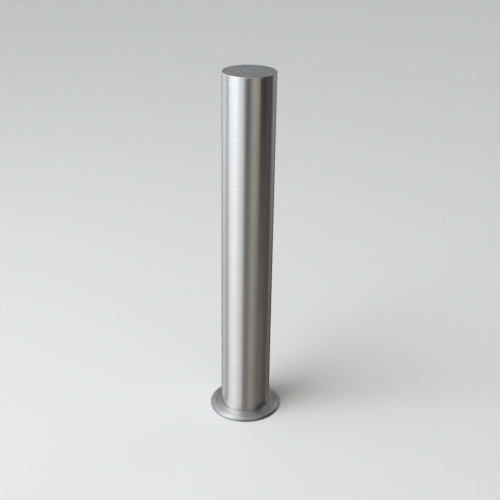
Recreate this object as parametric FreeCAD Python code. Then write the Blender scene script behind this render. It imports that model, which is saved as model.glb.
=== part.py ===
"""Steel safety bollard: a brushed stainless post on a bolted base plate, with a lift-off cover ring.

Millimetres, +Z up, origin on the ground at the centre of the foot. Every piece is a body of revolution
about +Z, apart from the countersunk holes in the base plate.

  post   post_tube, top_cap, cap_weld, base_plate, base_weld_top, base_weld_under
  cover  cover_ring, cover_seal    slides up the post and off its top
"""
import FreeCAD
import Part
import math
import os

from FreeCAD import Vector

# --- driving dimensions -------------------------------------------------------------------------------

# post
POST_HEIGHT = 900.0          # ground to the top of the cap
TUBE_DIAMETER = 127.0        # five-inch stainless tube
TUBE_WALL = 3.0

# flat top, welded round its edge and ground flush
CAP_THICKNESS = 5.0
CAP_EDGE_RADIUS = 1.5
CAP_WELD_DEPTH = 2.5         # how far the V-groove reaches in from the surface
CAP_WELD_HALF_HEIGHT = 1.5   # the groove's height above and below the joint, at the surface

# base plate, a ring round the foot of the tube
PLATE_DIAMETER = 176.0
PLATE_THICKNESS = 6.0
PLATE_CHAMFER = 0.5
TUBE_END_LIFT = 3.0          # the tube's end stops this far above the ground, for the weld under it

# four countersunk M8 ground anchors
ANCHOR_COUNT = 4
ANCHOR_CIRCLE = 155.0
ANCHOR_HOLE_DIAMETER = 9.0
ANCHOR_SINK_DIAMETER = 17.4
ANCHOR_FIRST_ANGLE = 45.0

# welds between the tube and the base plate
TOP_WELD_LEG = 3.0
TOP_WELD_CROWN = 0.25        # how far the bead stands out from the straight line between its toes
UNDER_WELD_LEG = 2.2

# cover ring: lies on the base plate and hides it
COVER_DIAMETER = 184.0
COVER_EDGE_START = 3.5       # height above the ground at which the upright skirt ends
COVER_EDGE_RADIUS = 4.0      # the rim's round, from the skirt to the domed face
COVER_OUTER_SLOPE = 24.0     # degrees that the dome falls where it meets the rim's round
COVER_INNER_SLOPE = 7.0      # and beside the tube
COVER_BORE_GAP = 0.4         # clear of the tube all round
COVER_BORE_ROUND = 0.5       # between the dome and the bore
COVER_SKIRT_GAP = 0.6        # between the skirt and the plate's edge
COVER_GROUND_GAP = 0.3       # the ring rests on the plate, so the skirt stops short of the ground
COVER_WELD_GAP = 1.1         # outward, between the ring's underside and the weld's toe

# rubber O-ring in a groove round the cover's bore
SEAL_SECTION = 1.4
SEAL_GAP = 0.25              # between the O-ring and the tube
SEAL_HEIGHT = 11.6           # of the middle of its section

# --- derived dimensions -------------------------------------------------------------------------------

TUBE_RADIUS = TUBE_DIAMETER / 2
TUBE_BORE_RADIUS = TUBE_RADIUS - TUBE_WALL
TUBE_TOP = POST_HEIGHT - CAP_THICKNESS
PLATE_RADIUS = PLATE_DIAMETER / 2
COVER_RADIUS = COVER_DIAMETER / 2
COVER_BORE_RADIUS = TUBE_RADIUS + COVER_BORE_GAP
WELD_ROOT_RADIUS = TUBE_RADIUS - CAP_WELD_DEPTH

HALF_ROOT_TWO = math.sqrt(0.5)


# --- helpers ------------------------------------------------------------------------------------------

def at(radius, height):
    """A point of a profile, which is drawn in the plane through the post's axis."""
    return Vector(radius, 0, height)


def line(start, end):
    return Part.LineSegment(start, end).toShape()


def arc(start, through, end):
    return Part.Arc(start, through, end).toShape()


def arc_about(centre, radius, start, end):
    """An arc about its centre; angles in degrees, 0 outward from the axis and 90 up."""
    angles = [math.radians(angle) for angle in (start, (start + end) / 2, end)]
    points = [centre + at(math.cos(angle), math.sin(angle)) * radius for angle in angles]
    return arc(*points)


def start_of(edge):
    return edge.valueAt(edge.FirstParameter)


def end_of(edge):
    return edge.valueAt(edge.LastParameter)


def turned(edges):
    """The solid that a closed profile sweeps out, turned once round the post's axis."""
    face = Part.Face(Part.Wire(edges))
    return face.revolve(Vector(0, 0, 0), Vector(0, 0, 1), 360)


def turned_polygon(points):
    """A turned solid whose profile has straight sides only."""
    closed = points + points[:1]
    return turned([line(a, b) for a, b in zip(closed, closed[1:])])


# --- the post -----------------------------------------------------------------------------------------

def make_post_tube():
    """Round tube, bevelled outside at the top to make the lower half of the weld groove."""
    return turned_polygon([
        at(TUBE_BORE_RADIUS, TUBE_END_LIFT),
        at(TUBE_RADIUS, TUBE_END_LIFT),
        at(TUBE_RADIUS, TUBE_TOP - CAP_WELD_HALF_HEIGHT),
        at(WELD_ROOT_RADIUS, TUBE_TOP),
        at(TUBE_BORE_RADIUS, TUBE_TOP),
    ])


def make_top_cap():
    """Flat disc that closes the tube: bevelled below for the weld, rounded above."""
    edge_centre = at(TUBE_RADIUS - CAP_EDGE_RADIUS, POST_HEIGHT - CAP_EDGE_RADIUS)
    edge_round = arc_about(edge_centre, CAP_EDGE_RADIUS, 0, 90)
    under_centre = at(0, TUBE_TOP)
    root = at(WELD_ROOT_RADIUS, TUBE_TOP)
    bevel_top = at(TUBE_RADIUS, TUBE_TOP + CAP_WELD_HALF_HEIGHT)
    top_centre = at(0, POST_HEIGHT)
    return turned([
        line(under_centre, root),
        line(root, bevel_top),
        line(bevel_top, start_of(edge_round)),
        edge_round,
        line(end_of(edge_round), top_centre),
        line(top_centre, under_centre),
    ])


def make_cap_weld():
    """Fills the V-groove between the tube and the cap, ground flush with both."""
    return turned_polygon([
        at(WELD_ROOT_RADIUS, TUBE_TOP),
        at(TUBE_RADIUS, TUBE_TOP - CAP_WELD_HALF_HEIGHT),
        at(TUBE_RADIUS, TUBE_TOP + CAP_WELD_HALF_HEIGHT),
    ])


def make_anchor_hole():
    """The space that one countersunk anchor hole takes out of the plate, at the post's axis."""
    hole_radius = ANCHOR_HOLE_DIAMETER / 2
    sink_radius = ANCHOR_SINK_DIAMETER / 2
    sink_depth = sink_radius - hole_radius
    over = 1.0
    shaft = Part.makeCylinder(hole_radius, PLATE_THICKNESS + 2 * over, at(0, -over))
    sink = Part.makeCone(
        hole_radius, sink_radius + over, sink_depth + over, at(0, PLATE_THICKNESS - sink_depth))
    return shaft.fuse(sink)


def make_base_plate():
    """Ring round the tube's foot, with both outer edges broken and countersunk anchor holes."""
    plate = turned_polygon([
        at(TUBE_RADIUS, 0),
        at(PLATE_RADIUS - PLATE_CHAMFER, 0),
        at(PLATE_RADIUS, PLATE_CHAMFER),
        at(PLATE_RADIUS, PLATE_THICKNESS - PLATE_CHAMFER),
        at(PLATE_RADIUS - PLATE_CHAMFER, PLATE_THICKNESS),
        at(TUBE_RADIUS, PLATE_THICKNESS),
    ])
    for index in range(ANCHOR_COUNT):
        angle = math.radians(ANCHOR_FIRST_ANGLE + index * 360 / ANCHOR_COUNT)
        hole = make_anchor_hole()
        hole.translate(Vector(math.cos(angle), math.sin(angle), 0) * (ANCHOR_CIRCLE / 2))
        plate = plate.cut(hole)
    return plate


def make_base_weld_top():
    """Fillet weld in the corner between the tube and the top of the plate, slightly crowned."""
    corner = at(TUBE_RADIUS, PLATE_THICKNESS)
    outer_toe = at(TUBE_RADIUS + TOP_WELD_LEG, PLATE_THICKNESS)
    upper_toe = at(TUBE_RADIUS, PLATE_THICKNESS + TOP_WELD_LEG)
    half_leg = TOP_WELD_LEG / 2
    bulge = TOP_WELD_CROWN * HALF_ROOT_TWO
    crown = at(TUBE_RADIUS + half_leg + bulge, PLATE_THICKNESS + half_leg + bulge)
    return turned([
        line(corner, outer_toe),
        arc(outer_toe, crown, upper_toe),
        line(upper_toe, corner),
    ])


def make_base_weld_under():
    """Fillet weld in the corner between the tube's lower end and the wall of the plate's bore."""
    return turned_polygon([
        at(TUBE_RADIUS, TUBE_END_LIFT),
        at(TUBE_RADIUS - UNDER_WELD_LEG, TUBE_END_LIFT),
        at(TUBE_RADIUS, TUBE_END_LIFT - UNDER_WELD_LEG),
    ])


# --- the cover ----------------------------------------------------------------------------------------

def slope_direction(degrees):
    """Unit vector square to a face that falls outward by so many degrees."""
    slope = math.radians(degrees)
    return at(math.sin(slope), math.cos(slope))


def make_top_outline():
    """The ring's visible outline in three tangent arcs: the rim's round, the dome, and the bore's edge."""
    outer = slope_direction(COVER_OUTER_SLOPE)
    inner = slope_direction(COVER_INNER_SLOPE)

    rim_centre = at(COVER_RADIUS - COVER_EDGE_RADIUS, COVER_EDGE_START)
    rim_end = rim_centre + outer * COVER_EDGE_RADIUS
    dome_end_radius = COVER_BORE_RADIUS + COVER_BORE_ROUND + inner.x * COVER_BORE_ROUND
    dome_radius = (rim_end.x - dome_end_radius) / (outer.x - inner.x)
    dome_centre = rim_end - outer * dome_radius
    bore_centre = dome_centre + inner * (dome_radius - COVER_BORE_ROUND)

    rim = arc_about(rim_centre, COVER_EDGE_RADIUS, 0, 90 - COVER_OUTER_SLOPE)
    dome = arc_about(dome_centre, dome_radius, 90 - COVER_OUTER_SLOPE, 90 - COVER_INNER_SLOPE)
    bore_edge = arc_about(bore_centre, COVER_BORE_ROUND, 90 - COVER_INNER_SLOPE, 180)
    return rim, dome, bore_edge


def make_cover_ring():
    """Domed ring with a round rim, lying on the plate.

    Near the bore it is bevelled below, clear of the weld.
    """
    skirt_radius = PLATE_RADIUS + COVER_SKIRT_GAP
    bevel_radius = TUBE_RADIUS + TOP_WELD_LEG + COVER_WELD_GAP
    bevel_height = bevel_radius - COVER_BORE_RADIUS
    rim, dome, bore_edge = make_top_outline()
    skirt_inside = at(skirt_radius, COVER_GROUND_GAP)
    skirt_outside = at(COVER_RADIUS, COVER_GROUND_GAP)
    bevel_top = at(COVER_BORE_RADIUS, PLATE_THICKNESS + bevel_height)
    bevel_bottom = at(bevel_radius, PLATE_THICKNESS)
    rest_end = at(skirt_radius, PLATE_THICKNESS)

    ring = turned([
        line(skirt_inside, skirt_outside),
        line(skirt_outside, start_of(rim)),
        rim,
        dome,
        bore_edge,
        line(end_of(bore_edge), bevel_top),
        line(bevel_top, bevel_bottom),
        line(bevel_bottom, rest_end),
        line(rest_end, skirt_inside),
    ])
    return ring.cut(make_seal_groove())


def seal_centre_radius():
    return TUBE_RADIUS + SEAL_GAP + SEAL_SECTION / 2


def make_seal_groove():
    """Square groove in the cover's bore that holds the O-ring."""
    depth_radius = seal_centre_radius() + SEAL_SECTION / 2
    inside_radius = TUBE_RADIUS
    low = SEAL_HEIGHT - SEAL_SECTION / 2
    high = SEAL_HEIGHT + SEAL_SECTION / 2
    return turned_polygon([
        at(inside_radius, low),
        at(depth_radius, low),
        at(depth_radius, high),
        at(inside_radius, high),
    ])


def make_cover_seal():
    """O-ring round the tube, held in the cover's groove."""
    return Part.makeTorus(seal_centre_radius(), SEAL_SECTION / 2, at(0, SEAL_HEIGHT))


# --- write one file per piece -------------------------------------------------------------------------

PIECES = {
    "post_tube": make_post_tube,
    "top_cap": make_top_cap,
    "cap_weld": make_cap_weld,
    "base_plate": make_base_plate,
    "base_weld_top": make_base_weld_top,
    "base_weld_under": make_base_weld_under,
    "cover_ring": make_cover_ring,
    "cover_seal": make_cover_seal,
}


def main():
    os.makedirs("parts", exist_ok=True)
    for name, make in PIECES.items():
        shape = make()
        if not shape.isValid() or len(shape.Solids) != 1:
            raise ValueError(name + " isn't one valid solid")
        shape.exportStep("parts/" + name + ".step")
        print(name, round(shape.Volume), "mm3")


main()
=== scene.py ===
"""Looks of the steel safety bollard: brushed steel post, cap and cover ring, welds, rubber seal, studio."""
import math

import bpy
from mathutils import Matrix, Vector


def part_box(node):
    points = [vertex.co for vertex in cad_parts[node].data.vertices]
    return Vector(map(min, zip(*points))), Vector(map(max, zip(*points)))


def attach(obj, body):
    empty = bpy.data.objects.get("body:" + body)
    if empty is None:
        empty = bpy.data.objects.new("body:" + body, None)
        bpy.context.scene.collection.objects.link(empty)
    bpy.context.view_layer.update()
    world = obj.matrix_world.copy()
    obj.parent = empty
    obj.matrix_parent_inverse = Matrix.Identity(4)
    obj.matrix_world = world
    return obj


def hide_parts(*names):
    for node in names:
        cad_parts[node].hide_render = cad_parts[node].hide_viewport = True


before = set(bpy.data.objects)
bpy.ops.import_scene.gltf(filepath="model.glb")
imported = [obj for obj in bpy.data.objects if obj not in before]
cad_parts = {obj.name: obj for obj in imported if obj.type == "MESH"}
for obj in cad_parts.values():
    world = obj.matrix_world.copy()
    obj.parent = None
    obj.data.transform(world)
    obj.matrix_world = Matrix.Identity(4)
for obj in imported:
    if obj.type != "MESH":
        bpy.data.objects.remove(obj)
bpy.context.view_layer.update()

MM = 0.001
FULL_TURN = 2 * math.pi

# --- sizes read from the frame ------------------------------------------------------------------------

tube_low, tube_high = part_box("post_tube")
cap_low, cap_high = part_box("top_cap")
seam_low, seam_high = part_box("cap_weld")
plate_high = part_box("base_plate")[1]
bead_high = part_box("base_weld_top")[1]
under_low, under_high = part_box("base_weld_under")
cover_low, cover_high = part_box("cover_ring")
seal_low, seal_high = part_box("cover_seal")

TUBE_RADIUS = tube_high.x
COVER_RADIUS = cover_high.x
POST_TOP = cap_high.z
PLATE_TOP = plate_high.z
BEAD_RADIUS = bead_high.x    # where the weld on the base plate ends
BEAD_LENGTH = FULL_TURN * TUBE_RADIUS

# --- sizes that a box doesn't give, as the parts have them --------------------------------------------

TUBE_WALL = 3.0 * MM
CAP_EDGE_RADIUS = 1.5 * MM
SEAM_DEPTH = 2.5 * MM
COVER_EDGE_START = 3.5 * MM  # height at which the rim's round begins
COVER_EDGE_RADIUS = 4.0 * MM
COVER_OUTER_SLOPE = 24       # degrees by which the dome falls beside the rim
COVER_INNER_SLOPE = 7        # and beside the post
COVER_BORE_GAP = 0.4 * MM
COVER_BORE_ROUND = 0.5 * MM
COVER_SKIRT_GAP = 0.6 * MM
COVER_BEVEL_GAP = 1.1 * MM
SMALL_ROUND = 0.3 * MM

COVER_BORE_RADIUS = TUBE_RADIUS + COVER_BORE_GAP
COVER_SKIRT_RADIUS = plate_high.x + COVER_SKIRT_GAP
COVER_BEVEL_RADIUS = BEAD_RADIUS + COVER_BEVEL_GAP

# --- fineness of the meshes ---------------------------------------------------------------------------

SEGMENTS = 256               # faces round a turned piece
COVER_SEGMENTS = 320         # the cover is wider
TOP_BEAD_SEGMENTS = 1440     # the beads' ripples need more
UNDER_BEAD_SEGMENTS = 1200
SHARP_ANGLE = 28             # edges that turn by more than this many degrees aren't shaded smooth
FLAT_INSET = 0.3 * MM        # how far in from an edge a straight stretch starts to be shaded flat
ON_AXIS = 1e-9               # a smaller radius than this is on the axis

# --- studio -------------------------------------------------------------------------------------------

# Light from round the studio. Each row is a bearing in degrees, 0 on the camera's side and
# positive to its right, then the light's level and its warmth. Levels run smoothly from row to row.
# HIGH is above the horizon: the cap and the ring's face reflect it.
STUDIO_HIGH = [
    (-180, 0.30, 0.0),       # behind the post
    (-150, 0.45, 0.0),
    (-125, 0.66, 0.0),
    (-100, 1.15, -0.02),     # large window on the left
    (-80, 2.60, -0.02),
    (-58, 2.50, -0.02),
    (-25, 1.10, -0.01),
    (-5, 0.50, 0.0),         # dim wall by the camera
    (20, 0.50, 0.03),
    (45, 0.25, 0.08),
    (68, 0.06, 0.10),        # dark side on the right
    (108, 0.04, 0.03),
    (118, 0.28, 0.0),
    (130, 0.60, 0.0),        # small panel, right rear
    (143, 0.28, 0.0),
    (158, 0.12, 0.0),
    (180, 0.30, 0.0),
]
# MIDDLE is below the horizon: seen from above, the upper half of the post reflects it.
STUDIO_MIDDLE = [
    (-180, 0.38, 0.0),       # behind the post
    (-160, 0.42, 0.0),
    (-144, 0.78, -0.03),     # first panel, left rear
    (-130, 1.05, -0.03),
    (-116, 1.00, -0.03),
    (-108, 0.78, -0.04),     # darker seam between the panels
    (-97, 0.80, -0.04),
    (-86, 1.50, -0.04),      # second panel, left
    (-54, 1.62, -0.03),
    (-36, 1.08, -0.02),
    (-24, 0.82, -0.01),
    (-13, 0.20, 0.0),        # dark gap by the camera
    (-2, 0.09, 0.02),
    (10, 0.32, 0.06),
    (25, 0.50, 0.10),        # warm wall, right front
    (40, 0.40, 0.12),
    (53, 0.02, 0.12),        # black side on the right
    (72, 0.01, 0.05),
    (84, 0.09, 0.0),
    (106, 0.08, -0.02),
    (126, 0.36, -0.02),      # dim panel, right rear
    (136, 0.38, -0.02),
    (150, 0.20, -0.01),
    (165, 0.24, 0.0),
    (180, 0.36, 0.0),
]
# LOW is further below: seen from above, the foot of the post reflects it. It is dimmer at left and behind.
STUDIO_LOW = [
    (-180, 0.10, 0.0),       # behind the post
    (-160, 0.20, 0.0),
    (-146, 0.52, 0.0),       # first panel, left rear
    (-130, 0.74, 0.0),
    (-118, 0.74, 0.0),
    (-108, 0.46, 0.0),       # darker seam between the panels
    (-95, 0.46, 0.0),
    (-84, 0.94, 0.0),        # second panel, left
    (-68, 1.10, 0.0),
    (-50, 1.06, 0.0),
    (-36, 0.90, 0.0),
    (-24, 0.74, 0.0),
    (-10, 0.31, 0.02),       # darker gap by the camera
    (2, 0.25, 0.04),
    (24, 0.34, 0.07),        # warm wall, right front
    (44, 0.22, 0.11),
    (72, 0.20, 0.12),
    (92, 0.12, 0.10),        # dark side on the right
    (108, 0.10, 0.08),
    (120, 0.17, 0.05),       # dim panel, right rear
    (132, 0.18, 0.05),
    (144, 0.10, 0.03),
    (156, 0.02, 0.0),
    (180, 0.01, 0.0),
]
CEILING_LEVEL = 0.5
LOW_TO_MIDDLE = (-28, -14)   # elevations in degrees between which one list gives way to the next
MIDDLE_TO_HIGH = (2, 24)
HIGH_TO_CEILING = (55, 80)

BACKDROP_LEVEL = 0.545       # about as bright as the far floor, so that the horizon is faint
PALE_WARMTH = 0.004          # the floor and the backdrop are a touch warm
FLOOR_HALF = 60              # metres from the post to the floor's edge

KEY_SIZE = 2.4               # metres
KEY_POWER = 70               # watts
KEY_PLACE = Vector((-2.0, -1.2, 3.4))
KEY_AIM = Vector((0, 0, 0.3))

# The camera is where a standing person holds it, two metres away and half a metre above the post's top.
CAMERA_PLACE = Vector((0.0071, -1.974, 1.371))
CAMERA_PITCH = 24.97         # degrees down
CAMERA_ROLL = 0.85
CAMERA_LENS = 63.1           # millimetres
CAMERA_SENSOR = 36           # millimetres

# --- mesh helpers -------------------------------------------------------------------------------------


def arc(centre, radius, start, end, steps):
    """Points of an arc in a profile; angles in degrees, 0 outward from the axis and 90 up."""
    points = []
    for i in range(steps + 1):
        angle = math.radians(start + (end - start) * i / steps)
        points.append((centre[0] + radius * math.cos(angle), centre[1] + radius * math.sin(angle)))
    return points


def straight(start, end):
    """Two points a short way in from the ends of a straight stretch, which keep its shading flat."""
    start = Vector(start)
    end = Vector(end)
    step = (end - start).normalized() * FLAT_INSET
    return [tuple(start + step), tuple(end - step)]


def make_object(name, vertices, faces):
    """A mesh object, shaded smooth except at its sharp edges."""
    mesh = bpy.data.meshes.new(name)
    mesh.from_pydata(vertices, [], faces)
    mesh.validate()
    mesh.shade_smooth()
    mesh.set_sharp_from_angle(angle=math.radians(SHARP_ANGLE))
    piece = bpy.data.objects.new(name, mesh)
    bpy.context.scene.collection.objects.link(piece)
    return piece


def turned(name, profile, segments=SEGMENTS, ripple=None):
    """A closed profile turned round the post's axis. Points on the axis become one vertex each.

    ripple(index, angle) gives how far a profile point moves, as (outward, upward), at that angle.
    """
    vertices = []
    rows = []
    for index, (radius, height) in enumerate(profile):
        if radius < ON_AXIS:
            rows.append([len(vertices)] * segments)
            vertices.append((0, 0, height))
            continue
        row = []
        for s in range(segments):
            angle = FULL_TURN * s / segments
            outward, upward = ripple(index, angle) if ripple else (0, 0)
            r = radius + outward
            row.append(len(vertices))
            vertices.append((r * math.cos(angle), r * math.sin(angle), height + upward))
        rows.append(row)
    faces = []
    for lower, upper in zip(rows, rows[1:] + rows[:1]):
        for s in range(segments):
            after = (s + 1) % segments
            corners = [lower[s], lower[after], upper[after], upper[s]]
            face = list(dict.fromkeys(corners))
            if len(face) > 2:
                faces.append(face)
    return make_object(name, vertices, faces)


def place(piece, body, node, slot, material):
    """The piece rides on its body, stands for its CAD node and takes the given material. The slot is not
    used.
    """
    piece.data.materials.append(material)
    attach(piece, body)
    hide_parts(node)


# --- node helpers -------------------------------------------------------------------------------------

SMEAR_ROTATION = 0.25        # of a turn, from round the post to up and down, the way the light smears


class Nodes:
    """Short names for adding nodes to a tree. Each input takes a plain value or another node's output."""

    def __init__(self, tree):
        self.tree = tree

    def add(self, kind, **settings):
        node = self.tree.nodes.new(kind)
        for key, value in settings.items():
            setattr(node, key, value)
        return node

    def feed(self, socket, value):
        """Links an output, or sets a plain number, vector or colour."""
        if isinstance(value, bpy.types.NodeSocket):
            self.tree.links.new(value, socket)
        else:
            socket.default_value = value

    def math(self, operation, a, b=0.0):
        node = self.add("ShaderNodeMath", operation=operation)
        self.feed(node.inputs[0], a)
        self.feed(node.inputs[1], b)
        return node.outputs[0]

    def plus(self, a, b):
        return self.math("ADD", a, b)

    def times(self, a, b):
        return self.math("MULTIPLY", a, b)

    def spread(self, value, low, high, to_low=0.0, to_high=1.0):
        """Maps low..high to to_low..to_high, smoothly and clamped."""
        node = self.add("ShaderNodeMapRange", interpolation_type="SMOOTHSTEP")
        self.feed(node.inputs["Value"], value)
        self.feed(node.inputs["From Min"], low)
        self.feed(node.inputs["From Max"], high)
        self.feed(node.inputs["To Min"], to_low)
        self.feed(node.inputs["To Max"], to_high)
        return node.outputs[0]

    def mix(self, factor, a, b, kind="RGBA"):
        node = self.add("ShaderNodeMix", data_type=kind)
        self.feed(node.inputs["Factor"], factor)
        self.feed(node.inputs["A"], a)
        self.feed(node.inputs["B"], b)
        return node.outputs["Result"]

    def mix_number(self, factor, a, b):
        return self.mix(factor, a, b, kind="FLOAT")


class Finish(Nodes):
    """A material's nodes, with the object's own coordinates to work from."""

    def __init__(self, name):
        self.material = bpy.data.materials.new(name)
        self.material.use_nodes = True
        super().__init__(self.material.node_tree)
        self.shader = self.tree.nodes["Principled BSDF"]
        self.position = self.add("ShaderNodeTexCoord").outputs["Object"]
        split = self.add("ShaderNodeSeparateXYZ")
        self.feed(split.inputs[0], self.position)
        self.x, self.y, self.z = split.outputs

    def scaled(self, x, y, z, turned_by=0):
        """The object's coordinates times so many cells per metre, after a turn about +Z in degrees."""
        position = self.position
        if turned_by:
            turn = self.add("ShaderNodeVectorRotate", rotation_type="Z_AXIS")
            self.feed(turn.inputs["Angle"], math.radians(turned_by))
            self.feed(turn.inputs["Vector"], position)
            position = turn.outputs[0]
        node = self.add("ShaderNodeVectorMath", operation="MULTIPLY")
        self.feed(node.inputs[0], position)
        self.feed(node.inputs[1], (x, y, z))
        return node.outputs[0]

    def radius(self):
        """Distance from the post's axis."""
        return self.math("SQRT", self.plus(self.times(self.x, self.x), self.times(self.y, self.y)))

    def noise(self, vector, detail, roughness=0.5, w=None):
        node = self.add("ShaderNodeTexNoise", noise_dimensions="3D" if w is None else "4D")
        self.feed(node.inputs["Scale"], 1.0)
        self.feed(node.inputs["Detail"], detail)
        self.feed(node.inputs["Roughness"], roughness)
        self.feed(node.inputs["Vector"], vector)
        if w is not None:
            self.feed(node.inputs["W"], w)
        return node.outputs["Fac"]

    def ring_noise(self, radius, across, along, detail, roughness=0.5):
        """Noise in concentric streaks: across and along are cells per metre over the profile and round it."""
        vector = self.add("ShaderNodeCombineXYZ")
        self.feed(vector.inputs[0], self.times(radius, across))
        self.feed(vector.inputs[1], self.times(self.z, across))
        self.feed(vector.inputs[2], self.times(self.x, along))
        return self.noise(vector.outputs[0], detail, roughness, w=self.times(self.y, along))

    def vary(self, noise, to_low=0.0, to_high=1.0):
        """Spreads a noise, nearly all of which lies between 0.3 and 0.7, over to_low..to_high."""
        return self.spread(noise, 0.3, 0.7, to_low, to_high)

    def bump(self, height, distance, strength, under=None):
        node = self.add("ShaderNodeBump")
        self.feed(node.inputs["Strength"], strength)
        self.feed(node.inputs["Distance"], distance)
        self.feed(node.inputs["Height"], height)
        if under is not None:
            self.feed(node.inputs["Normal"], under)
        return node.outputs["Normal"]

    def finish(self, colour, roughness, normal=None, metallic=1.0, anisotropic=0.0):
        """Feeds the shader. Anisotropic above 0 is for a surface brushed round the post's axis."""
        self.feed(self.shader.inputs["Base Color"], colour)
        self.feed(self.shader.inputs["Roughness"], roughness)
        self.feed(self.shader.inputs["Metallic"], metallic)
        if normal is not None:
            self.feed(self.shader.inputs["Normal"], normal)
        if anisotropic:
            tangent = self.add("ShaderNodeTangent", direction_type="RADIAL", axis="Z")
            self.feed(self.shader.inputs["Tangent"], tangent.outputs[0])
            self.feed(self.shader.inputs["Anisotropic"], anisotropic)
            self.feed(self.shader.inputs["Anisotropic Rotation"], SMEAR_ROTATION)
        return self.material


def grey(level, warmth=0.0):
    """A grey that leans to orange by its warmth, or to blue where that is negative."""
    return (level * (1 + warmth), level, level * (1 - warmth), 1.0)


# --- materials ----------------------------------------------------------------------------------------


def brushed_tube_material():
    """Satin stainless, brushed round the tube, so light smears up and down and stays sharp sideways."""
    n = Finish("brushed_tube")
    scratches = n.noise(n.scaled(45, 45, 2600), detail=3, roughness=0.6)
    streaks = n.noise(n.scaled(10, 10, 320), detail=3, roughness=0.6)
    smudges = n.noise(n.scaled(16, 16, 7), detail=4, roughness=0.55)
    sway = n.noise(n.scaled(9, 9, 2.2), detail=1)
    inside = n.spread(n.radius(), TUBE_RADIUS - 0.7 * TUBE_WALL, TUBE_RADIUS - 0.3 * TUBE_WALL, 1, 0)

    tone = n.mix(n.vary(streaks), grey(0.61), grey(0.65))
    tone = n.mix(n.spread(smudges, 0.35, 0.75, 0, 0.3), tone, grey(0.56, 0.01))
    mill = n.mix(n.vary(smudges), grey(0.30, 0.02), grey(0.42, 0.01))
    colour = n.mix(inside, tone, mill)

    rough = n.plus(n.vary(scratches, 0.19, 0.23), n.spread(smudges, 0.35, 0.75, 0, 0.03))
    rough = n.mix_number(inside, rough, 0.55)
    normal = n.bump(sway, 0.6 * MM, 0.35)
    normal = n.bump(streaks, 0.004 * MM, 0.2, under=normal)
    normal = n.bump(scratches, 0.002 * MM, 0.3, under=normal)
    return n.finish(colour, rough, normal, anisotropic=0.9)


def cap_material():
    """Flat top, mottled grey and bluish, brushed in crossing strokes, with a polished edge."""
    n = Finish("brushed_cap")
    patches = n.noise(n.scaled(60, 60, 60), detail=2)
    tint = n.noise(n.scaled(36, 36, 36), detail=2)
    strokes_a = n.noise(n.scaled(900, 40, 200, turned_by=25), detail=2)
    strokes_b = n.noise(n.scaled(900, 40, 200, turned_by=100), detail=2)
    strokes = n.mix_number(n.spread(tint, 0.42, 0.58), strokes_a, strokes_b)
    round_start = TUBE_RADIUS - CAP_EDGE_RADIUS
    edge = n.spread(n.radius(), round_start - 0.4 * MM, round_start + 0.3 * MM)

    tone = n.mix(n.vary(patches), grey(0.42), grey(0.67))
    tone = n.mix(n.spread(tint, 0.38, 0.62, 0, 0.6), tone, (0.48, 0.53, 0.555, 1))
    tone = n.mix(n.spread(strokes, 0.35, 0.7, 0, 0.3), tone, grey(0.64))
    colour = n.mix(edge, tone, grey(0.64))

    rough = n.plus(n.vary(patches, 0.35, 0.43), n.vary(strokes, -0.03, 0.04))
    rough = n.mix_number(edge, rough, 0.27)
    normal = n.bump(patches, 0.25 * MM, 0.4)
    normal = n.bump(strokes, 0.01 * MM, 0.6, under=normal)
    return n.finish(colour, rough, normal)


def seam_material():
    """The weld round the cap, ground flush and brushed over: the tube's finish, a shade finer."""
    n = Finish("ground_weld")
    scratches = n.noise(n.scaled(60, 60, 3200), detail=3, roughness=0.6)
    blend = n.noise(n.scaled(90, 90, 200), detail=3)
    colour = n.mix(n.spread(blend, 0.35, 0.7), grey(0.60), grey(0.67, 0.01))
    rough = n.vary(scratches, 0.25, 0.33)
    normal = n.bump(scratches, 0.006 * MM, 0.6)
    normal = n.bump(blend, 0.02 * MM, 0.4, under=normal)
    return n.finish(colour, rough, normal, anisotropic=0.85)


def ring_material():
    """Turned stainless: concentric grain and dull scuffs; a painted highlight beside the rim, painted shade
    on the rim's round and at the foot.
    """
    n = Finish("brushed_ring")
    radius = n.radius()
    grain = n.ring_noise(radius, 2200, 30, detail=3, roughness=0.6)
    lines = n.ring_noise(radius, 480, 9, detail=2)
    scuffs = n.ring_noise(radius, 160, 45, detail=3, roughness=0.6)
    # painted highlight: a band just inside the rim's round is lightened towards near white, where the rim
    # would catch the light
    painted_sheen = n.spread(radius, COVER_RADIUS - 2.4 * COVER_EDGE_RADIUS, COVER_RADIUS - 1.4 * COVER_EDGE_RADIUS)
    dull = n.times(n.spread(scuffs, 0.38, 0.64), n.spread(painted_sheen, 0, 1, 1, 0.5))
    # painted shade: the rim's round is darkened to dim its highlight; its added roughness is the real finish
    rim = n.spread(radius, COVER_RADIUS - COVER_EDGE_RADIUS, COVER_RADIUS - 0.4 * COVER_EDGE_RADIUS)
    # painted shade: the skirt's lowest few millimetres are darkened, standing in for a dark floor's
    # reflection and the shade at the ground
    foot = n.spread(n.z, COVER_EDGE_START + 1.0 * MM, COVER_EDGE_START - 1.0 * MM)

    tone = n.mix(n.vary(lines), grey(0.66), grey(0.72))
    tone = n.mix(n.times(dull, 0.7), tone, grey(0.44, 0.01))
    # painted highlight band beside the rim
    tone = n.mix(n.times(painted_sheen, 0.42), tone, grey(0.88))
    # painted shade on the rim's round
    tone = n.mix(n.times(rim, 0.65), tone, grey(0.50))
    # painted shade on the skirt at the foot
    colour = n.mix(n.times(foot, 0.85), tone, grey(0.14, 0.02))

    rough = n.plus(n.vary(grain, 0.34, 0.40), n.times(dull, 0.08))
    rough = n.plus(rough, n.times(rim, 0.14))
    normal = n.bump(lines, 0.006 * MM, 0.5)
    normal = n.bump(grain, 0.003 * MM, 0.5, under=normal)
    return n.finish(colour, rough, normal, anisotropic=0.85)


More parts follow.
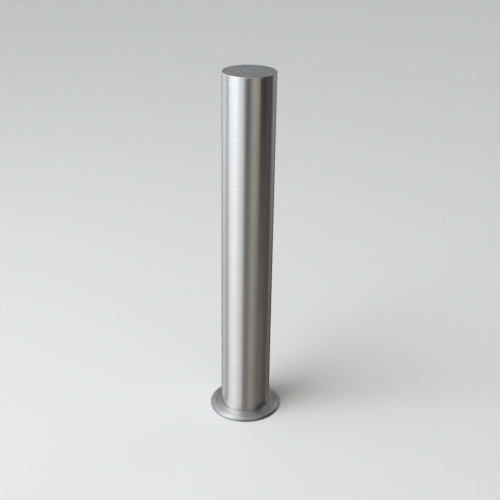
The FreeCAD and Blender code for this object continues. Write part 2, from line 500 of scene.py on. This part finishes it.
def plate_material():
    """Mill-finished plate: cloudy grey, with the tint that welding heat leaves beside the bead."""
    n = Finish("mill_plate")
    clouds = n.noise(n.scaled(45, 45, 45), detail=5, roughness=0.6)
    speckle = n.noise(n.scaled(1300, 1300, 1300), detail=2)
    wobble = n.times(n.math("SUBTRACT", clouds, 0.5), 3.0 * MM)
    heat = n.plus(n.radius(), wobble)
    straw = n.spread(heat, BEAD_RADIUS + 4.5 * MM, BEAD_RADIUS + 1.5 * MM)
    blue = n.spread(heat, BEAD_RADIUS + 2.2 * MM, BEAD_RADIUS + 0.4 * MM)

    colour = n.mix(n.vary(clouds), grey(0.40), grey(0.52, 0.01))
    colour = n.mix(n.times(straw, 0.55), colour, (0.50, 0.40, 0.25, 1))
    colour = n.mix(n.times(blue, 0.5), colour, (0.22, 0.24, 0.36, 1))
    rough = n.plus(n.vary(clouds, 0.42, 0.55), n.vary(speckle, -0.04, 0.04))
    normal = n.bump(clouds, 0.08 * MM, 0.3)
    normal = n.bump(speckle, 0.01 * MM, 0.5, under=normal)
    return n.finish(colour, rough, normal)


def bead_material():
    """Pickled weld metal: fine frosted grey with darker stains."""
    n = Finish("weld_bead")
    frost = n.noise(n.scaled(2500, 2500, 2500), detail=3)
    stain = n.noise(n.scaled(160, 160, 160), detail=3)
    colour = n.mix(n.spread(stain, 0.3, 0.75), grey(0.52), grey(0.36, 0.06))
    rough = n.plus(n.vary(stain, 0.3, 0.42), n.vary(frost, -0.04, 0.05))
    normal = n.bump(frost, 0.008 * MM, 0.6)
    return n.finish(colour, rough, normal)


def rubber_material():
    """Moulded EPDM: matt black with a faint dusty bloom."""
    n = Finish("black_rubber")
    bloom = n.noise(n.scaled(220, 220, 220), detail=4)
    pores = n.noise(n.scaled(5200, 5200, 5200), detail=2)
    colour = n.mix(n.spread(bloom, 0.45, 0.8), grey(0.018), grey(0.055))
    rough = n.vary(bloom, 0.55, 0.78)
    normal = n.bump(pores, 0.01 * MM, 0.5)
    return n.finish(colour, rough, normal, metallic=0.0)


# --- pieces of the post -------------------------------------------------------------------------------


def make_tube():
    """The tube's outside, ends and inside wall, with the bevel for the weld under the cap."""
    bore = TUBE_RADIUS - TUBE_WALL
    low = tube_low.z
    foot_centre = (TUBE_RADIUS - SMALL_ROUND, low + SMALL_ROUND)
    bevel_start = (TUBE_RADIUS, seam_low.z)
    bevel_end = (TUBE_RADIUS - SEAM_DEPTH, tube_high.z)
    profile = [(bore, low)]
    profile += straight((bore, low), (foot_centre[0], low))
    profile += arc(foot_centre, SMALL_ROUND, -90, 0, steps=5)
    profile += straight(profile[-1], bevel_start)
    profile += [bevel_start, bevel_end, (bore, tube_high.z)]
    return turned("tube", profile)


def make_cap():
    """The flat top: its edge rounded over, and its underside bevelled for the weld."""
    edge_centre = (TUBE_RADIUS - CAP_EDGE_RADIUS, POST_TOP - CAP_EDGE_RADIUS)
    bevel_start = (TUBE_RADIUS - SEAM_DEPTH, cap_low.z)
    bevel_end = (TUBE_RADIUS, seam_high.z)
    profile = [(0, cap_low.z), bevel_start, bevel_end]
    profile += straight(bevel_end, (TUBE_RADIUS, edge_centre[1]))
    profile += arc(edge_centre, CAP_EDGE_RADIUS, 0, 90, steps=10)
    profile += straight((edge_centre[0], POST_TOP), (0, POST_TOP))
    profile += [(0, POST_TOP)]
    return turned("cap", profile)


def make_seam():
    """The weld metal round the cap, ground flush with the tube."""
    middle = (seam_low.z + seam_high.z) / 2
    profile = [(TUBE_RADIUS, seam_low.z), (TUBE_RADIUS, seam_high.z), (TUBE_RADIUS - SEAM_DEPTH, middle)]
    return turned("cap_seam", profile)


def bead_ripple(across, pitch, height, phase=0.0):
    """How a weld bead's surface rises and falls: crescents a pitch apart, bowed back at the toes.

    across holds each profile point's place across the bead, from -1 at one toe to 1 at the other, or None
    where the bead is fused to the steel.
    """
    count = round(BEAD_LENGTH / pitch)
    bow = 1.5

    def ripple(index, angle):
        place = across[index]
        if place is None:
            return 0.0, 0.0
        # crescents at a slightly uneven pitch, each steeper on one side, over a slow swell round the post
        uneven = 0.35 * math.sin(5 * angle + phase) + 0.2 * math.sin(13 * angle + 2 * phase)
        turn = count * angle + uneven - bow * place * place
        crest = 0.6 * math.sin(turn) + 0.25 * math.sin(2 * turn + 0.9)
        swell = 0.3 * math.sin(3 * angle + 1 + phase)
        lift = height * (crest + swell) * (1 - place * place)
        return lift, lift

    return ripple


def bead_section(corner, first_toe, last_toe, steps, crown=0.0):
    """A bead's profile, from the fused corner along its face, and each point's place across the bead.

    crown is how far the middle of the face stands out, along each of the two axes.
    """
    profile = [corner]
    across = [None]
    for i in range(steps + 1):
        t = i / steps
        bulge = 4 * t * (1 - t) * crown
        profile.append(tuple(a + (b - a) * t + bulge for a, b in zip(first_toe, last_toe)))
        across.append(2 * t - 1)
    return profile, across


def make_top_bead():
    """Fillet weld round the foot, laid in overlapping ripples."""
    leg = bead_high.z - PLATE_TOP
    corner = (TUBE_RADIUS, PLATE_TOP)
    toe_out = (TUBE_RADIUS + leg, PLATE_TOP)
    toe_up = (TUBE_RADIUS, PLATE_TOP + leg)
    profile, across = bead_section(corner, toe_out, toe_up, steps=12, crown=0.07 * leg)
    ripple = bead_ripple(across, pitch=2.6 * MM, height=0.16 * MM)
    return turned("weld_bead_top", profile, TOP_BEAD_SEGMENTS, ripple)


def make_under_bead():
    """Seal weld under the tube's end, inside the plate's bore. Its ripples stand out downward and inward."""
    leg = under_high.z - under_low.z
    corner = (TUBE_RADIUS, under_high.z)
    toe_in = (TUBE_RADIUS - leg, under_high.z)
    toe_down = (TUBE_RADIUS, under_high.z - leg)
    profile, across = bead_section(corner, toe_in, toe_down, steps=8)
    ripple = bead_ripple(across, pitch=2.4 * MM, height=-0.1 * MM, phase=1.3)
    return turned("weld_bead_under", profile, UNDER_BEAD_SEGMENTS, ripple)


# --- pieces of the cover ------------------------------------------------------------------------------


def slope_direction(degrees):
    """Unit vector square to a face that falls outward by so many degrees."""
    slope = math.radians(degrees)
    return Vector((math.sin(slope), math.cos(slope)))


def cover_top_outline():
    """The ring's visible outline in three tangent arcs: the rim's round, the dome, and the bore's edge."""
    outer = slope_direction(COVER_OUTER_SLOPE)
    inner = slope_direction(COVER_INNER_SLOPE)
    rim_centre = Vector((COVER_RADIUS - COVER_EDGE_RADIUS, COVER_EDGE_START))
    rim_end = rim_centre + outer * COVER_EDGE_RADIUS
    dome_end_radius = COVER_BORE_RADIUS + COVER_BORE_ROUND + inner.x * COVER_BORE_ROUND
    dome_radius = (rim_end.x - dome_end_radius) / (outer.x - inner.x)
    dome_centre = rim_end - outer * dome_radius
    bore_centre = dome_centre + inner * (dome_radius - COVER_BORE_ROUND)

    rim = arc(rim_centre, COVER_EDGE_RADIUS, 0, 90 - COVER_OUTER_SLOPE, steps=20)
    dome = arc(dome_centre, dome_radius, 90 - COVER_OUTER_SLOPE, 90 - COVER_INNER_SLOPE, steps=20)
    bore_edge = arc(bore_centre, COVER_BORE_ROUND, 90 - COVER_INNER_SLOPE, 180, steps=10)
    return rim + dome[1:-1] + bore_edge


def make_cover():
    """The cover ring: skirt, round rim, domed face, and a bore with a groove for the O-ring."""
    low = cover_low.z
    skirt_centre = (COVER_RADIUS - SMALL_ROUND, low + SMALL_ROUND)
    bevel_height = COVER_BEVEL_RADIUS - COVER_BORE_RADIUS
    outline = cover_top_outline()
    profile = arc(skirt_centre, SMALL_ROUND, -90, 0, steps=5)
    profile += straight(profile[-1], outline[0])
    profile += outline
    profile += [
        (COVER_BORE_RADIUS, seal_high.z),
        (seal_high.x, seal_high.z),
        (seal_high.x, seal_low.z),
        (COVER_BORE_RADIUS, seal_low.z),
        (COVER_BORE_RADIUS, PLATE_TOP + bevel_height),
        (COVER_BEVEL_RADIUS, PLATE_TOP),
        (COVER_SKIRT_RADIUS, PLATE_TOP),
        (COVER_SKIRT_RADIUS, low),
    ]
    return turned("foot_ring", profile, COVER_SEGMENTS)


def make_seal():
    """The O-ring in the cover's groove, with the fine moulding line round its inside."""
    section = (seal_high.z - seal_low.z) / 2
    centre = (seal_high.x - section, (seal_low.z + seal_high.z) / 2)
    steps = 24
    line_height = 0.06 * MM
    profile = []
    for i in range(steps):
        angle = FULL_TURN * i / steps
        reach = section + line_height if i == steps // 2 else section
        profile.append((centre[0] + reach * math.cos(angle), centre[1] + section * math.sin(angle)))
    return turned("o_ring", profile)


# --- floor, lights and camera -------------------------------------------------------------------------


def make_floor():
    """Plain pale floor, fully matt. The steel doesn't mirror it, and light from below passes through."""
    corners = []
    for x, y in ((-1, -1), (1, -1), (1, 1), (-1, 1)):
        corners.append((x * FLOOR_HALF, y * FLOOR_HALF, 0))
    floor = make_object("studio_floor", corners, [(0, 1, 2, 3)])
    n = Finish("studio_floor")
    speckle = n.noise(n.scaled(400, 400, 400), detail=2)
    colour = n.mix(n.vary(speckle), grey(0.75, PALE_WARMTH), grey(0.77, PALE_WARMTH))
    n.feed(n.shader.inputs["Specular IOR Level"], 0.0)
    floor.data.materials.append(n.finish(colour, 0.9, metallic=0.0))
    floor.visible_glossy = False
    floor.visible_shadow = False


def make_world():
    """The studio round the bollard: soft upright light panels and dark gaps between them."""
    world = bpy.data.worlds.new("studio")
    bpy.context.scene.world = world
    world.use_nodes = True
    world.node_tree.nodes.clear()
    n = Nodes(world.node_tree)

    split = n.add("ShaderNodeSeparateXYZ")
    n.feed(split.inputs[0], n.add("ShaderNodeTexCoord").outputs["Generated"])
    x, y, z = split.outputs
    bearing = n.math("ARCTAN2", x, n.times(y, -1.0))
    along = n.plus(n.math("DIVIDE", bearing, FULL_TURN), 0.5)

    def panels(rows):
        """The light that comes from each bearing."""
        ramp = n.add("ShaderNodeValToRGB")
        ramp.color_ramp.interpolation = "EASE"
        elements = ramp.color_ramp.elements
        elements.remove(elements[1])
        for i, (degrees, level, warmth) in enumerate(rows):
            place = (degrees + 180) / 360
            element = elements[0] if i == 0 else elements.new(place)
            element.position = place
            element.color = grey(level, warmth)
        n.feed(ramp.inputs[0], along)
        return ramp.outputs["Color"]

    def above(elevations):
        """0 below the first elevation, 1 above the second."""
        start, end = [math.sin(math.radians(elevation)) for elevation in elevations]
        return n.spread(z, start, end)

    light = n.mix(above(LOW_TO_MIDDLE), panels(STUDIO_LOW), panels(STUDIO_MIDDLE))
    light = n.mix(above(MIDDLE_TO_HIGH), light, panels(STUDIO_HIGH))
    light = n.mix(above(HIGH_TO_CEILING), light, grey(CEILING_LEVEL))

    room = n.add("ShaderNodeBackground")
    n.feed(room.inputs["Color"], light)
    backdrop = n.add("ShaderNodeBackground")
    n.feed(backdrop.inputs["Color"], grey(BACKDROP_LEVEL, PALE_WARMTH))
    seen = n.add("ShaderNodeMixShader")
    n.feed(seen.inputs[0], n.add("ShaderNodeLightPath").outputs["Is Camera Ray"])
    n.feed(seen.inputs[1], room.outputs[0])
    n.feed(seen.inputs[2], backdrop.outputs[0])
    n.feed(n.add("ShaderNodeOutputWorld").inputs["Surface"], seen.outputs[0])


def make_key_light():
    """A large soft light, high on the camera's left, for the floor and the shadow."""
    light = bpy.data.lights.new("key_softbox", "AREA")
    light.shape = "SQUARE"
    light.size = KEY_SIZE
    light.energy = KEY_POWER
    lamp = bpy.data.objects.new("key_softbox", light)
    bpy.context.scene.collection.objects.link(lamp)
    lamp.location = KEY_PLACE
    lamp.rotation_euler = (KEY_AIM - KEY_PLACE).to_track_quat("-Z", "Y").to_euler()
    lamp.visible_glossy = False


def make_camera():
    """The photograph's viewing angle."""
    data = bpy.data.cameras.new("camera")
    data.lens = CAMERA_LENS
    data.sensor_width = CAMERA_SENSOR
    camera = bpy.data.objects.new("camera", data)
    bpy.context.scene.collection.objects.link(camera)
    tilt = Matrix.Rotation(math.radians(90 - CAMERA_PITCH), 4, "X")
    roll = Matrix.Rotation(math.radians(CAMERA_ROLL), 4, "Z")
    camera.matrix_world = Matrix.Translation(CAMERA_PLACE) @ tilt @ roll
    bpy.context.scene.camera = camera


# --- build --------------------------------------------------------------------------------------------

bead_finish = bead_material()
place(make_tube(), "post", "post_tube", "brushed_tube", brushed_tube_material())
place(make_cap(), "post", "top_cap", "brushed_cap", cap_material())
place(make_seam(), "post", "cap_weld", "ground_weld", seam_material())
place(make_top_bead(), "post", "base_weld_top", "weld_bead", bead_finish)
place(make_under_bead(), "post", "base_weld_under", "weld_bead", bead_finish)
place(make_cover(), "cover", "cover_ring", "brushed_ring", ring_material())
place(make_seal(), "cover", "cover_seal", "black_rubber", rubber_material())

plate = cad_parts["base_plate"]
plate.data.materials.clear()
plate.data.materials.append(plate_material())

make_floor()
make_world()
make_key_light()
make_camera()
bpy.context.scene.view_settings.view_transform = "Standard"
